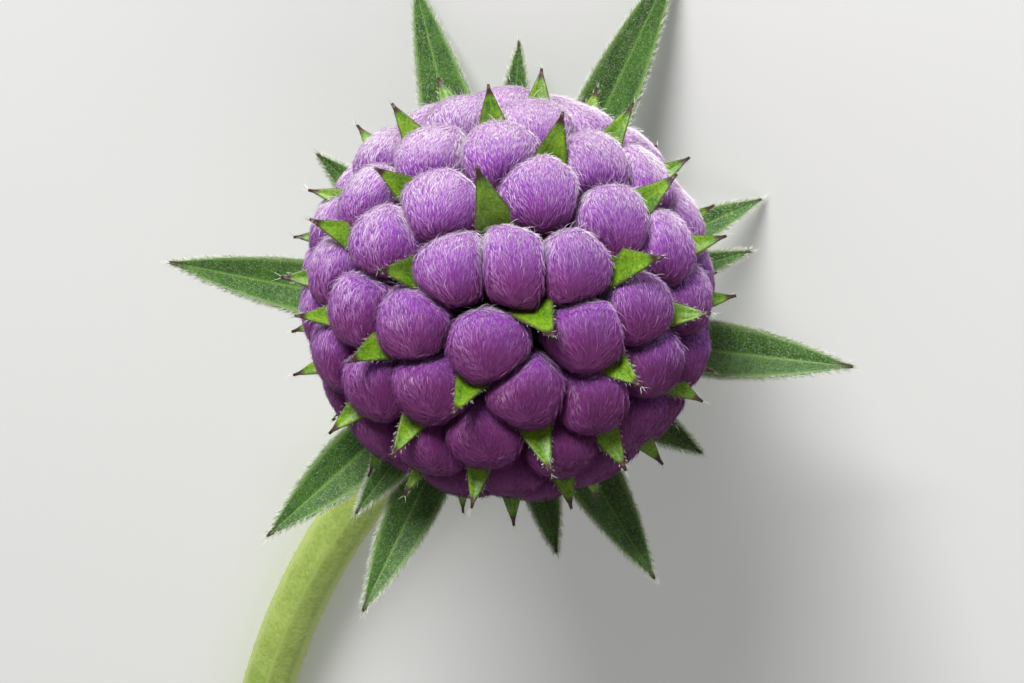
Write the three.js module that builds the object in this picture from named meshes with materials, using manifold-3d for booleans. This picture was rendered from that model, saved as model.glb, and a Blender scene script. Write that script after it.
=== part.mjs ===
// Devil's-bit scabious: one flower head, still in tight bud, on the stem it was cut with.
// The head is a ball of hairy buds packed in two golden-angle spirals on a receptacle,
// with a keeled scale behind each bud and a ruff of bracts below. It lies on a flat
// surface on its stem and three bract tips. Millimetres and degrees, +Z up.

import * as THREE from 'three';
import { mergeVertices } from 'three/addons/utils/BufferGeometryUtils.js';
import Module from 'manifold-3d';

const wasm = await Module();
wasm.setup();

// ---------------------------------------------------------------- driving dimensions

const headHeight = 10.3;         // centre of the head above the surface
const headTilt = 45;             // the head's axis above the horizontal
const headTurn = -158;           // the head about its own axis

const budPairs = 32;             // opposite pairs of buds round the one at the top
const separatePairs = 20;        // pairs that are pieces of their own; the lower ones are joined
const firstBudTurn = 113;        // place of the first pair round the axis
const pairTurn = 137.508 / 2;    // from one pair to the next: half the golden angle
const budShare = 0.0264;         // how much of the axis one bud takes, of the ball's radius
const budCrowding = 0.963;       // below 1, buds get a little smaller away from the top
const budSeat = 1;               // from the receptacle to the middle of a bud
const budTop = 1.8;              // from there to the top of the bud
const budWidth = 3.3;            // a bud that nothing presses on
const budSquareness = 8;         // higher, the pressed sides of a bud are flatter

const coreRadius = 4.2;          // the receptacle under the buds
const neckFlare = 0.25;          // its foot is this much wider all round than the stem
const scaleWidth = 1.2;          // a scale where it is widest
const scaleThickness = 0.24;     // and how thick it is there
const scaleRootLean = 12.5;      // from the middle of a bud to the root of its scale
const scaleLean = 17;            // and to the tip of it
const scaleProud = 0.9;          // the tip stands this far above the buds
const scaleTaper = 1.1;          // length of the part that narrows to the tip
const scaledPairs = 27;          // pairs of buds that have a scale

const bractThickness = 0.34;     // at the root; a third of that at the tip
const bractFold = 0.22;          // depth of the groove, of half the bract's width
const bractTierGap = 0.5;        // one whorl of bracts below the next
const bractRise = -3.6;          // height of a free tip along the axis, from the head's centre
const bractSag = 0.5;            // dip of a bract under the lowest buds

const stemDiameter = 2;          // the same all along
const stemLength = 40;           // what lies beyond the head, along the surface
const stemSway = 3.8;            // sideways curve of the lying stem
const stemBend = 1.25;           // how slowly it turns level; 1 is the tightest

const clearance = 0.08;          // between neighbours that touch
const joinOverlap = 0.35;        // how far joined pieces run into each other

// Each bract: its place round the axis, the reach of its tip from the axis, its width,
// its whorl, and whether its tip is one of those that the head rests on.
const bracts = [
  { name: 'outer_bract_1', turn: 64, reach: 13.4, width: 2.6, tier: 0, rests: true },
  { name: 'outer_bract_2', turn: 105, reach: 12.2, width: 2.4, tier: 0, rests: true },
  { name: 'outer_bract_3', turn: 172, reach: 11.7, width: 2.4, tier: 0, rests: false },
  { name: 'outer_bract_4', turn: 224, reach: 11.3, width: 2.4, tier: 0, rests: false },
  { name: 'outer_bract_5', turn: 299, reach: 10.6, width: 2.3, tier: 0, rests: false },
  { name: 'outer_bract_6', turn: 351, reach: 12.2, width: 2.5, tier: 0, rests: false },
  { name: 'middle_bract_1', turn: 26, reach: 10.2, width: 1.7, tier: 1, rests: true },
  { name: 'middle_bract_2', turn: 87, reach: 9.5, width: 1.5, tier: 1, rests: false },
  { name: 'middle_bract_3', turn: 245, reach: 11.5, width: 2.2, tier: 1, rests: false },
  { name: 'middle_bract_4', turn: 282, reach: 8.6, width: 1.6, tier: 1, rests: false },
  { name: 'middle_bract_5', turn: 324, reach: 8.4, width: 1.6, tier: 1, rests: false },
  { name: 'inner_bract_1', turn: 14, reach: 8.8, width: 1.4, tier: 2, rests: false },
  { name: 'inner_bract_2', turn: 140, reach: 8.5, width: 1.5, tier: 2, rests: false },
  { name: 'inner_bract_3', turn: 234, reach: 8.7, width: 1.5, tier: 2, rests: false },
];

const budCentreRadius = coreRadius + budSeat;
const headRadius = budCentreRadius + budTop;
const neckRadius = stemDiameter / 2 + neckFlare;

// ---------------------------------------------------------------- materials

const purple = new THREE.MeshStandardMaterial({ color: 0x7d4f9e, roughness: 0.85, metalness: 0 });
const bractGreen = new THREE.MeshStandardMaterial({ color: 0x5f8a3a, roughness: 0.8, metalness: 0 });
const scaleGreen = new THREE.MeshStandardMaterial({ color: 0x4f7f22, roughness: 0.7, metalness: 0 });
const stemGreen = new THREE.MeshStandardMaterial({ color: 0x93b356, roughness: 0.75, metalness: 0 });

// ---------------------------------------------------------------- helpers

const radians = THREE.MathUtils.degToRad;
const degrees = THREE.MathUtils.radToDeg;
const axis = new THREE.Vector3(0, 0, 1);

// A direction from the head's centre: lean from the axis, turn about it, in degrees.
function direction(lean, turn) {
  return new THREE.Vector3(Math.sin(radians(lean)), 0, Math.cos(radians(lean)))
    .applyAxisAngle(axis, radians(turn));
}

// A closed rod bent along a curve, with its own width and thickness at each place.
// `face` is the way its upper side looks; `fold` lifts both edges into a groove.
function bentRod({ sides, steps, curve, face, width, thickness, fold = 0 }) {
  const rod = new THREE.CylinderGeometry(1, 1, 1, sides, steps);
  const position = rod.attributes.position;
  const point = new THREE.Vector3();
  for (let i = 0; i < position.count; i += 1) {
    const t = THREE.MathUtils.clamp(position.getY(i) + 0.5, 0, 1);
    const along = curve.getTangentAt(t);
    const side = new THREE.Vector3().crossVectors(along, face).normalize();
    const up = new THREE.Vector3().crossVectors(side, along);
    const across = position.getX(i) * width(t) / 2;
    const lift = position.getZ(i) * thickness(t) / 2 + fold * Math.abs(across);
    point.copy(curve.getPointAt(t)).addScaledVector(side, across).addScaledVector(up, lift);
    position.setXYZ(i, point.x, point.y, point.z);
  }
  rod.computeVertexNormals();
  return rod;
}

// The outline of a leaf-like blade: `root` wide where it grows, full at `fullest`, then to a tip.
function bladeWidth(full, root, tip, fullest) {
  return (t) => {
    const share = t < fullest
      ? THREE.MathUtils.lerp(root, full, Math.sin((t / fullest) * Math.PI / 2))
      : full * (1 - ((t - fullest) / (1 - fullest)) ** 1.6);
    return Math.max(share, tip);
  };
}

function toSolid(geometry) {
  const bare = geometry.clone();
  bare.deleteAttribute('normal');
  bare.deleteAttribute('uv');
  const merged = mergeVertices(bare);
  return new wasm.Manifold(new wasm.Mesh({
    numProp: 3,
    vertProperties: new Float32Array(merged.attributes.position.array),
    triVerts: new Uint32Array(merged.index.array),
  }));
}

function toGeometry(solid) {
  const mesh = solid.getMesh();
  const geometry = new THREE.BufferGeometry();
  geometry.setAttribute('position', new THREE.BufferAttribute(mesh.vertProperties, 3));
  geometry.setIndex(new THREE.BufferAttribute(mesh.triVerts, 1));
  geometry.computeVertexNormals();
  return geometry;
}

function joined(geometries) {
  return toGeometry(geometries.map(toSolid).reduce((whole, next) => whole.add(next)));
}

function mesh(name, geometry, material) {
  const part = new THREE.Mesh(geometry, material);
  part.name = name;
  return part;
}

// ---------------------------------------------------------------- places of the buds

// The bud at the top, then opposite pairs. Each takes the same share of the ball.
const buds = [{ lean: 0, turn: firstBudTurn, pair: 0, joined: false }];
for (let pair = 1; pair <= budPairs; pair += 1) {
  const height = 1 - budShare * (2 * pair) ** budCrowding;
  const lean = degrees(Math.acos(height));
  for (const half of [0, 180]) {
    const turn = firstBudTurn + pair * pairTurn + half;
    buds.push({ lean, turn, pair, joined: pair > separatePairs });
  }
}
for (const bud of buds) {
  bud.centre = direction(bud.lean, bud.turn).multiplyScalar(budCentreRadius);
}

// ---------------------------------------------------------------- scales

// A scale grows from the receptacle behind its bud and leans out over the next ones.
function scaleGeometry(lean, turn) {
  const root = direction(lean + scaleRootLean, turn).multiplyScalar(coreRadius - scaleThickness);
  const knee = direction(lean + scaleRootLean, turn).multiplyScalar(headRadius - scaleTaper);
  const tip = direction(lean + scaleLean, turn).multiplyScalar(headRadius + scaleProud);
  return bentRod({
    sides: 4,
    steps: 4,
    curve: new THREE.QuadraticBezierCurve3(root, knee, tip),
    face: direction(lean + scaleRootLean - 90, turn),
    width: bladeWidth(scaleWidth, scaleWidth * 0.6, 0.08, 0.55),
    thickness: (t) => scaleThickness * (1.15 - 0.85 * t),
  });
}

const scales = [];
for (const bud of buds.filter(({ pair }) => pair <= scaledPairs)) {
  const turns = bud.pair === 0 ? [bud.turn, bud.turn + 180] : [bud.turn];
  for (const turn of turns) scales.push(scaleGeometry(bud.lean, turn));
}

// ---------------------------------------------------------------- receptacle

const halfBud = degrees(budWidth / 2 / headRadius);
const skirtLean = buds.at(-1).lean + halfBud;         // lower edge of the lowest buds
const skirtRadius = headRadius * Math.sin(radians(skirtLean));
const skirtHeight = headRadius * Math.cos(radians(skirtLean));
const bractSeat = Math.min(skirtHeight, -coreRadius) - bractThickness - clearance;
const neckFoot = bractSeat - 3 * bractTierGap;

// The core is a ball with a short foot, turned about the head's axis.
function receptacleCore() {
  const profile = [new THREE.Vector2(0, neckFoot), new THREE.Vector2(neckRadius, neckFoot)];
  const neckLean = 180 - degrees(Math.asin(neckRadius / coreRadius));
  const steps = 9;
  for (let i = 0; i < steps; i += 1) {
    const lean = radians(neckLean * (1 - i / steps));
    profile.push(new THREE.Vector2(coreRadius * Math.sin(lean), coreRadius * Math.cos(lean)));
  }
  profile.push(new THREE.Vector2(0, coreRadius));
  return new THREE.LatheGeometry(profile, 20).rotateX(Math.PI / 2);
}

// ---------------------------------------------------------------- buds

// The flat that just clears a solid: the best of a few directions from the bud's centre.
function flatThatClears(centre, geometry) {
  const position = geometry.attributes.position;
  const point = new THREE.Vector3();
  const offsets = [];
  for (let i = 0; i < position.count; i += 1) {
    offsets.push(point.fromBufferAttribute(position, i).clone().sub(centre));
  }
  let best = { distance: -Infinity };
  for (const aim of offsets) {
    const normal = aim.clone().normalize();
    const distance = Math.min(...offsets.map((offset) => offset.dot(normal))) - clearance;
    if (distance > best.distance) best = { normal, distance };
  }
  return best;
}

// Everything that presses on a bud, as flats: its neighbours, the receptacle, the scales.
function flatsRound(bud) {
  const inward = bud.centre.clone().normalize().negate();
  const seatGap = bud.joined ? -joinOverlap : clearance;
  const flats = [{ normal: inward, distance: budCentreRadius - coreRadius - seatGap }];
  for (const other of buds) {
    const apart = other.centre.clone().sub(bud.centre);
    if (other === bud || apart.length() > 2 * budWidth) continue;
    const gap = bud.joined && other.joined ? -joinOverlap : clearance / 2;
    flats.push({ normal: apart.clone().normalize(), distance: apart.length() / 2 - gap });
  }
  for (const scale of scales) {
    const flat = flatThatClears(bud.centre, scale);
    if (flat.distance < budWidth) flats.push(flat);
  }
  return flats;
}

// An egg-shaped bud whose sides are pressed flat: along any ray it ends just short of the
// nearest flat, and the powers round the corners between them.
function budGeometry(bud) {
  const geometry = new THREE.SphereGeometry(1, 10, 7).rotateX(Math.PI / 2);
  const outward = bud.centre.clone().normalize();
  const upright = new THREE.Quaternion().setFromUnitVectors(new THREE.Vector3(0, 0, 1), outward);
  const flats = flatsRound(bud);
  const position = geometry.attributes.position;
  for (let i = 0; i < position.count; i += 1) {
    const ray = new THREE.Vector3().fromBufferAttribute(position, i);
    const free = Math.hypot(ray.x, ray.y) / (budWidth / 2);
    const tall = ray.z / (headRadius - budCentreRadius);
    ray.applyQuaternion(upright);
    let sum = Math.hypot(free, tall) ** budSquareness;
    for (const { normal, distance } of flats) {
      sum += Math.max(0, ray.dot(normal) / distance) ** budSquareness;
    }
    ray.multiplyScalar(sum ** (-1 / budSquareness)).add(bud.centre);
    position.setXYZ(i, ray.x, ray.y, ray.z);
  }
  geometry.computeVertexNormals();
  return geometry;
}

// ---------------------------------------------------------------- bracts

const sinTilt = Math.sin(radians(headTilt));
const cosTilt = Math.cos(radians(headTilt));

// How high along the axis a tip lies when it touches the surface under the head.
function restingRise({ turn, reach }) {
  const drop = reach * Math.sin(radians(turn + headTurn)) * cosTilt;
  return (bractThickness / 2 - headHeight - drop) / sinTilt;
}

function bractGeometry(bract) {
  const seat = bractSeat - (2 - bract.tier) * bractTierGap;
  const rise = bract.rests ? restingRise(bract) : bractRise;
  const at = (reach, height) => new THREE.Vector3(reach, 0, height)
    .applyAxisAngle(axis, radians(bract.turn));
  const start = at(neckRadius + clearance, seat);
  const under = at(skirtRadius, seat - bractSag);
  const tip = at(bract.reach, rise);
  return bentRod({
    sides: 6,
    steps: 12,
    curve: new THREE.QuadraticBezierCurve3(start, under, tip),
    face: axis,
    width: bladeWidth(bract.width, 0.5, 0.1, 0.5),
    thickness: (t) => bractThickness * (1 - 0.7 * t * t),
    fold: bractFold,
  });
}

// ---------------------------------------------------------------- assembly

const group = new THREE.Group();

const head = new THREE.Group();
head.position.z = headHeight;
head.rotation.x = radians(90 - headTilt);
group.add(head);

const ball = new THREE.Group();
ball.rotation.z = radians(headTurn);
head.add(ball);

// The lowest buds are joined to the receptacle that they and the scales grow on.
const lowerBuds = buds.filter((bud) => bud.joined).map(budGeometry);
ball.add(mesh('receptacle', joined([receptacleCore(), ...scales, ...lowerBuds]), scaleGreen));
buds.filter((bud) => !bud.joined).forEach((bud, i) => {
  ball.add(mesh(`bud_${String(i + 1).padStart(2, '0')}`, budGeometry(bud), purple));
});
for (const bract of bracts) ball.add(mesh(bract.name, bractGeometry(bract), bractGreen));

// The stem leaves the head along its axis, turns level and lies on the surface.
const stemTop = new THREE.Vector3(0, cosTilt, -sinTilt).multiplyScalar(-neckFoot + clearance)
  .add(head.position);
const level = stemDiameter / 2;
const drop = stemTop.z - level;
const corner = new THREE.Vector3(0, stemTop.y + drop / Math.tan(radians(headTilt)), level);
const levelStart = corner.clone().add(new THREE.Vector3(stemSway / 2, drop * stemBend, 0));
const stemPath = new THREE.CurvePath();
stemPath.add(new THREE.QuadraticBezierCurve3(stemTop, corner, levelStart));
const lying = levelStart.clone().sub(corner).normalize();
const middle = levelStart.clone().addScaledVector(lying, stemLength * 0.4);
const end = new THREE.Vector3(levelStart.x - stemSway, corner.y + stemLength, level);
stemPath.add(new THREE.QuadraticBezierCurve3(levelStart, middle, end));
group.add(mesh('stem', bentRod({
  sides: 12,
  steps: 26,
  curve: stemPath,
  face: axis,
  width: () => stemDiameter,
  thickness: () => stemDiameter,
}), stemGreen));

// The origin is under the middle of the whole object, on the surface.
group.updateMatrixWorld(true);
const bounds = new THREE.Box3().setFromObject(group, true);
const middleOfBase = bounds.getCenter(new THREE.Vector3()).setZ(bounds.min.z);
group.position.sub(middleOfBase);

export default group;
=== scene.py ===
# %% [markdown]
# # Devil's-bit scabious, a head in bud
#
# One flower head, cut with a piece of its stem and laid down. It is a ball of closed purple
# buds, with green scales standing between them and a ruff of felted bracts under the ball.
# Almost everything on it is hairy, so the lesson is mostly about growing hair as real geometry.
#
# The solid model fixes where everything is. This file finds the middle of the head from it,
# repeats its rules for the buds and bracts, and makes the surfaces that are seen. Lengths are
# in metres, written as millimetres times `MM`.

# %% Load the frame
import math

import bmesh
import bpy
import numpy as np
from mathutils import Matrix, Vector


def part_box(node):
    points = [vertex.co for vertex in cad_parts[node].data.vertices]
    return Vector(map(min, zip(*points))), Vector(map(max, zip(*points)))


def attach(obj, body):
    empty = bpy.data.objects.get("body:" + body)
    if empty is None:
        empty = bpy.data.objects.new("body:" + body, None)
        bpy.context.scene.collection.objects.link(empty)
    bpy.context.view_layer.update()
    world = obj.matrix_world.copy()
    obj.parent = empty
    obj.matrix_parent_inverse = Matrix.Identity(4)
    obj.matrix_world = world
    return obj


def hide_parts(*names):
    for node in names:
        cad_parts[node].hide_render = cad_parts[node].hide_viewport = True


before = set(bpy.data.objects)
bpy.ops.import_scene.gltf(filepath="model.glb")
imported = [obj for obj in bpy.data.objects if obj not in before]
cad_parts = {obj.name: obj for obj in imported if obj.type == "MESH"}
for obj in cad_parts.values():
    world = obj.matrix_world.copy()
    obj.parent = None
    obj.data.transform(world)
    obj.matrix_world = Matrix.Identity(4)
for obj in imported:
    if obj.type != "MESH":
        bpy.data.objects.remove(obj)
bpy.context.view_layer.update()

MM = 0.001

# %% [markdown]
# ## Where the buds are
#
# Many plants pack their florets by a simple rule. Here each new pair stands half a golden angle
# on from the last, and each bud takes about the same share of the ball, which `BUD_CROWDING`
# below 1 makes slightly smaller for the outer ones. One loop with that rule places all the
# buds, so no list of places is needed. The top bud stands alone.

# %% The rule for the buds
BUD_PAIRS = 32
SEPARATE_PAIRS = 20
FIRST_BUD_TURN = 113
PAIR_TURN = 137.508 / 2
BUD_SHARE = 0.0264
BUD_CROWDING = 0.963


def direction(lean, turn):
    """A way out from the middle of the head: lean from its axis, turn about it, in degrees."""
    lean, turn = math.radians(lean), math.radians(turn)
    return Vector((math.sin(lean) * math.cos(turn), math.sin(lean) * math.sin(turn), math.cos(lean)))


buds = [{"lean": 0.0, "turn": FIRST_BUD_TURN, "pair": 0}]
for pair in range(1, BUD_PAIRS + 1):
    lean = math.degrees(math.acos(1 - BUD_SHARE * (2 * pair) ** BUD_CROWDING))
    for half in (0, 180):
        buds.append({"lean": lean, "turn": FIRST_BUD_TURN + pair * PAIR_TURN + half, "pair": pair})
print(len(buds), "buds, the lowest", round(buds[-1]["lean"]), "degrees from the top")

# %% [markdown]
# ## The head's own frame
#
# Everything on the head is easier to shape round an upright axis, so each piece is made in the
# head's own frame and then moved by one matrix, `HEAD`. Its turn is known, and its place comes
# from the solid buds: their boxes' middles lie at one distance from the middle of the head,
# each in its own direction, and a straight-line fit gives that point.

# %% Find the middle of the head
HEAD_TILT = 45
HEAD_TURN = -158

turned = (
    Matrix.Rotation(math.radians(90 - HEAD_TILT), 3, "X")
    @ Matrix.Rotation(math.radians(HEAD_TURN), 3, "Z")
)
solid_buds = [bud for bud in buds if bud["pair"] <= SEPARATE_PAIRS]
ways = np.array([turned @ direction(bud["lean"], bud["turn"]) for bud in solid_buds])
middles = []
for number in range(1, len(solid_buds) + 1):
    low, high = (Vector(corner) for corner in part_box(f"bud_{number:02d}"))
    middles.append((low + high) / 2)
middles = np.array(middles)
spread = ways - ways.mean(0)
bud_reach = float((spread * (middles - middles.mean(0))).sum() / (spread ** 2).sum())
centre = Vector(middles.mean(0) - bud_reach * ways.mean(0))
HEAD = Matrix.Translation(centre) @ turned.to_4x4()
head_axis = (turned @ Vector((0, 0, 1))).normalized()
misses = np.linalg.norm(middles - np.array(centre) - bud_reach * ways, axis=1)
print("middle of the head, mm:", [round(c / MM, 2) for c in centre])
print("largest miss of the fit, mm:", round(misses.max() / MM, 2))

# %% [markdown]
# ## Camera, floor and light
#
# The camera looks almost along the head's axis, onto the top of the ball, from well back and
# with a long lens, as a close-up is taken. The floor is plain and pale. A soft lamp stands low
# on the side that the camera sees as the top, a wide weak one opposite softens its shadows,
# and the world gives an even light.

# %% Camera
VIEW_LEAN = 8.2
VIEW_TURN = -102.5
CAMERA_DISTANCE = 160 * MM
FRAME_WIDTH = 34.6 * MM
AIM_RIGHT = 0.14 * MM
AIM_DOWN = 1.57 * MM
SENSOR = 36

toward_camera = (turned @ direction(VIEW_LEAN, VIEW_TURN)).normalized()
picture_right = (turned @ Vector((0, 1, 0))).cross(toward_camera).normalized()
picture_up = toward_camera.cross(picture_right)
camera_data = bpy.data.cameras.new("camera")
camera_data.sensor_width = SENSOR
camera_data.lens = SENSOR * CAMERA_DISTANCE / FRAME_WIDTH
camera_data.clip_start = 1 * MM
camera = bpy.data.objects.new("camera", camera_data)
bpy.context.scene.collection.objects.link(camera)
axes = Matrix((picture_right, picture_up, toward_camera)).transposed().to_4x4()
eye = centre + picture_right * AIM_RIGHT - picture_up * AIM_DOWN + toward_camera * CAMERA_DISTANCE
camera.matrix_world = Matrix.Translation(eye) @ axes
bpy.context.scene.camera = camera
bpy.context.scene.view_settings.view_transform = "Standard"
print("camera looks down at", round(math.degrees(math.asin(toward_camera.z))), "degrees")

# %% Floor, world and lamps
FLOOR_SIZE = 4.0
FLOOR_COLOUR = (0.92, 0.92, 0.90, 1)
FLOOR_ROUGHNESS = 0.9
WORLD_STRENGTH = 0.28
KEY_ELEVATION = math.radians(22)
FILL_BELOW = 0.9


def soft_lamp(name, way, distance, size, power):
    """A square lamp looking at the head from one side."""
    lamp = bpy.data.lights.new(name, "AREA")
    lamp.size = size
    lamp.energy = power
    holder = bpy.data.objects.new(name, lamp)
    bpy.context.scene.collection.objects.link(holder)
    way = way.normalized()
    holder.location = centre + way * distance
    holder.rotation_euler = way.to_track_quat("Z", "Y").to_euler()
    return holder


floor_bm = bmesh.new()
bmesh.ops.create_grid(floor_bm, x_segments=1, y_segments=1, size=FLOOR_SIZE / 2)
floor_mesh = bpy.data.meshes.new("floor")
floor_bm.to_mesh(floor_mesh)
floor_bm.free()
floor = bpy.data.objects.new("floor", floor_mesh)
bpy.context.scene.collection.objects.link(floor)
floor_material = bpy.data.materials.new("pale_floor")
floor_material.use_nodes = True
floor_shader = floor_material.node_tree.nodes["Principled BSDF"]
floor_shader.inputs["Base Color"].default_value = FLOOR_COLOUR
floor_shader.inputs["Roughness"].default_value = FLOOR_ROUGHNESS
floor_mesh.materials.append(floor_material)

world = bpy.data.worlds.new("soft_studio")
world.use_nodes = True
world.node_tree.nodes["Background"].inputs["Color"].default_value = (1, 1, 1, 1)
world.node_tree.nodes["Background"].inputs["Strength"].default_value = WORLD_STRENGTH
bpy.context.scene.world = world

level_way = Vector((picture_up.x, picture_up.y, 0)).normalized()
key_way = level_way * math.cos(KEY_ELEVATION) + Vector((0, 0, math.sin(KEY_ELEVATION)))
soft_lamp("key_lamp", key_way, distance=0.32, size=0.12, power=1.45)
soft_lamp("fill_lamp", toward_camera - key_way * FILL_BELOW, distance=0.45, size=0.4, power=0.27)

# %% [markdown]
# ## Shared helpers
#
# `finish_piece` turns a bmesh into a named piece that rides on the body. `bent_rod` makes every
# long part: a closed cylinder is cut into rings and each ring is carried to its place on a
# curve, with its own width and thickness. The stem, bracts and scales are all made by it from
# different numbers. Two attributes remember where each point was on the rod, for the materials.

# %% Making pieces
def finish_piece(name, bm, material, replaced=(), smooth=True):
    """A bmesh in the head's or the object's frame becomes a piece; its place is in its mesh."""
    mesh = bpy.data.meshes.new(name)
    for face in bm.faces:
        face.smooth = smooth
    bm.to_mesh(mesh)
    bm.free()
    mesh.materials.append(material)
    piece = bpy.data.objects.new(name, mesh)
    bpy.context.scene.collection.objects.link(piece)
    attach(piece, "root")
    if replaced:
        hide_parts(*replaced)
    return piece


def along_curve(points, t):
    """The place and heading at t on the Bezier curve with these control points."""
    points = [point.copy() for point in points]
    while len(points) > 2:
        points = [a.lerp(b, t) for a, b in zip(points, points[1:])]
    return points[0].lerp(points[1], t), (points[1] - points[0]).normalized()


def bent_rod(sides, steps, path, face, width, thickness, fold=0.0, relief=None, blunt=1.0):
    """A closed rod along a path. Its upper side looks the way of `face`; `fold` lifts the edges
    and `blunt` below 1 keeps it thick to the edges."""
    bm = bmesh.new()
    bmesh.ops.create_cone(
        bm, cap_ends=True, cap_tris=True, segments=sides, radius1=1, radius2=1, depth=1
    )
    long_edges = [edge for edge in bm.edges if abs(edge.verts[0].co.z - edge.verts[1].co.z) > 0.5]
    bmesh.ops.subdivide_edges(bm, edges=long_edges, cuts=steps - 1)
    along = bm.verts.layers.float.new("along")
    across = bm.verts.layers.float.new("across")
    for vert in bm.verts:
        t = min(max(vert.co.z + 0.5, 0.0), 1.0)
        x, y = vert.co.x, -math.copysign(abs(vert.co.y) ** blunt, vert.co.y)
        place, heading = path(t)
        side = heading.cross(face).normalized()
        up = side.cross(heading)
        swell = relief(t, x, y) if relief else 1.0
        lift = y * thickness(t) / 2 * swell + fold * abs(x) * width(t) / 2
        vert[along] = t
        vert[across] = x
        vert.co = place + side * (x * swell * width(t) / 2) + up * lift
    return bm


# %% [markdown]
# ## Hair
#
# A hair is a thin three-sided spike, made once from a cone. The short kind is straight, and the
# long kind is cut across the middle so that it can bend. Arrays then carry copies of it to
# roots scattered over a surface. Blender's own hair curves would be easier to comb, but real
# faces are sure to survive an export.
#
# The `OFBake` map has a row of strips, one a shade, and each hair lies on one of them, with v
# from its root to its tip. The hair materials read that map, so a hair can be dark at the root
# and white at the tip.

# %% One hair
SHADES = 48


def make_spike(cuts):
    """A cone of unit length along X, as arrays: corners, faces of corner numbers, face maps."""
    bm = bmesh.new()
    bmesh.ops.create_cone(
        bm, cap_ends=True, cap_tris=False, segments=3, radius1=1, radius2=0.03, depth=1
    )
    if cuts:
        long_edges = [edge for edge in bm.edges if abs(edge.verts[0].co.z - edge.verts[1].co.z) > 0.5]
        bmesh.ops.subdivide_edges(bm, edges=long_edges, cuts=cuts)
    tip = [vert for vert in bm.verts if vert.co.z > 0.4]
    bmesh.ops.pointmerge(bm, verts=tip, merge_co=(0, 0, 0.5))
    bmesh.ops.translate(bm, verts=bm.verts, vec=(0, 0, 0.5))
    bmesh.ops.rotate(bm, verts=bm.verts, cent=(0, 0, 0), matrix=Matrix.Rotation(math.pi / 2, 3, "Y"))
    bmesh.ops.triangulate(bm, faces=bm.faces)
    bmesh.ops.recalc_face_normals(bm, faces=bm.faces)
    bm.verts.index_update()
    corners = np.array([vert.co for vert in bm.verts])
    faces = np.array([[vert.index for vert in face.verts] for face in bm.faces])
    maps = []
    for face in bm.faces:
        turns = [math.atan2(vert.co.z, vert.co.y) for vert in face.verts]
        wide = max(turns) - min(turns) > math.pi
        turns = [turn + 2 * math.pi if wide and turn < 0 else turn for turn in turns]
        start, stretch = min(turns), max(max(turns) - min(turns), 0.1)
        maps.append([[(turn - start) / stretch, vert.co.x] for turn, vert in zip(turns, face.verts)])
    bm.free()
    return corners, faces, np.array(maps)


short_hair = make_spike(0)
long_hair = make_spike(1)
print("faces of one hair: short", len(short_hair[1]), "long", len(long_hair[1]))


# %% Growing hair
def surface_points(piece, count, rng, weight=None):
    """Random places on a piece, evenly by area times weight, and the ways the surface faces."""
    mesh = piece.data
    mesh.calc_loop_triangles()
    corners = np.empty(len(mesh.vertices) * 3)
    mesh.vertices.foreach_get("co", corners)
    index = np.empty(len(mesh.loop_triangles) * 3, np.int32)
    mesh.loop_triangles.foreach_get("vertices", index)
    triangles = corners.reshape(-1, 3)[index.reshape(-1, 3)]
    across = np.cross(triangles[:, 1] - triangles[:, 0], triangles[:, 2] - triangles[:, 0])
    area = np.linalg.norm(across, axis=1)
    facing = across / np.maximum(area, 1e-20)[:, None]
    share = area if weight is None else area * weight(triangles.mean(1))
    chosen = rng.choice(len(share), count, p=share / share.sum())
    a, b = rng.random((2, count))
    a, b = np.where(a + b > 1, 1 - a, a), np.where(a + b > 1, 1 - b, b)
    spots = triangles[chosen]
    one_side = (spots[:, 1] - spots[:, 0]) * a[:, None]
    other_side = (spots[:, 2] - spots[:, 0]) * b[:, None]
    return spots[:, 0] + one_side + other_side, facing[chosen]


def unit(rows):
    return rows / np.maximum(np.linalg.norm(rows, axis=1), 1e-12)[:, None]


def hairs(
    template, roots, facing, ways, length, thickness, rng, lift=0.25, curl=0.25, settle=0.35, pale=None
):
    """Copies of one hair: `ways` is where each points along the surface, `lift` how steeply it
    leaves it, `settle` how much the tip comes down again and `curl` how much it bends aside.
    `pale` says where in the row of shades each is, from 0 to 1."""
    shape = template[0]
    count = len(roots)
    ways = unit(ways - facing * (ways * facing).sum(1)[:, None])
    aside = np.cross(facing, ways)
    long = length * rng.uniform(0.6, 1.25, count)
    thick = thickness / 2 * rng.uniform(0.7, 1.2, count)
    rise = lift * rng.uniform(0.5, 1.5, count)
    bend = curl * rng.normal(0, 1, count)
    t = shape[:, 0][None, :]
    forward = t * long[:, None]
    out = shape[:, 2][None, :] * thick[:, None] + (rise[:, None] * t - settle * t * t) * long[:, None]
    over = shape[:, 1][None, :] * thick[:, None] + bend[:, None] * t * t * long[:, None]
    corners = roots[:, None, :] - facing[:, None, :] * thickness / 2
    corners = corners + ways[:, None, :] * forward[..., None]
    corners = corners + facing[:, None, :] * out[..., None] + aside[:, None, :] * over[..., None]
    pale = rng.random(count) if pale is None else pale
    return template, corners, (np.clip(pale, 0, 0.999) * SHADES).astype(int)


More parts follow.
